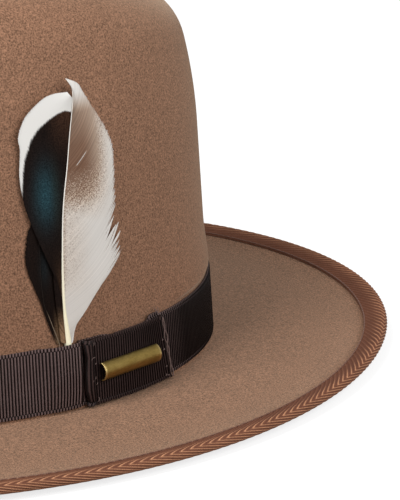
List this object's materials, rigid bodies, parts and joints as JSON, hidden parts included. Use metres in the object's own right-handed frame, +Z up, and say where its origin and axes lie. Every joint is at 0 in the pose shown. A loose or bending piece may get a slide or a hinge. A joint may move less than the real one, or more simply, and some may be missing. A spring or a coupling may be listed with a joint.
{
  "type": "fedora hat",
  "caption": "Felt fedora with a creased and pinched crown, a gently curled bound brim, a grosgrain ribbon band with a flat keeper and a metal bar, and tucked feathers; lined.",
  "frame": {"origin": "middle of the hat, on the surface that the flat ring of the brim rests on", "axes": "+Z up through the crown, -Y to the front of the hat, +X to the wearer's left, where the trim is"},
  "size_m": [0.2992, 0.3347, 0.142],
  "materials": {
    "fur_felt": "brushed felt, matte with a soft nap",
    "binding_tape": "herringbone woven tape",
    "binding_thread": "sewing thread",
    "grosgrain_ribbon": "ribbed grosgrain, slight lustre",
    "keeper_ribbon": "ribbed grosgrain, slight lustre",
    "ribbon_thread": "sewing thread",
    "aged_brass": "antiqued, satin",
    "feather_quill": "horn-like keratin, satin",
    "feather_dark": "feather barbs with an iridescent patch",
    "feather_pale": "feather barbs, soft",
    "sweatband_leather": "smooth sheepskin, satin",
    "leather_thread": "sewing thread",
    "reed_tape": "plastic reed in a cloth tape",
    "bow_ribbon": "satin ribbon",
    "lining_satin": "satin",
    "lining_tip_satin": "satin"
  },
  "bodies": {
    "hat": {"felt_body": "fur_felt", "brim_binding": "binding_tape", "binding_top_thread": "binding_thread", "binding_bobbin_thread": "binding_thread", "ribbon_band": "grosgrain_ribbon", "keeper": "keeper_ribbon", "keeper_thread_front": "ribbon_thread", "keeper_thread_rear": "ribbon_thread", "trim_plate": "aged_brass", "sweatband": "sweatband_leather", "sweatband_reed": "reed_tape", "sweatband_thread": "leather_thread", "sweatband_bow": "bow_ribbon", "lining_side": "lining_satin", "lining_tip": "lining_tip_satin"},
    "front_feather": {"front_feather_quill": "feather_quill", "front_feather_dark_vane": "feather_dark", "front_feather_pale_vane": "feather_pale"},
    "rear_feather": {"rear_feather_quill": "feather_quill", "rear_feather_left_vane": "feather_dark", "rear_feather_right_vane": "feather_dark"}
  },
  "joints": [
    {"name": "front_feather_slide", "type": "slide", "parent": "hat", "child": "front_feather", "axis": [-0.0264, -0.1107, 0.9935], "range_m": [0, 0.014]},
    {"name": "rear_feather_slide", "type": "slide", "parent": "hat", "child": "rear_feather", "axis": [-0.0292, -0.1093, 0.9936], "range_m": [0, 0.014]}
  ]
}
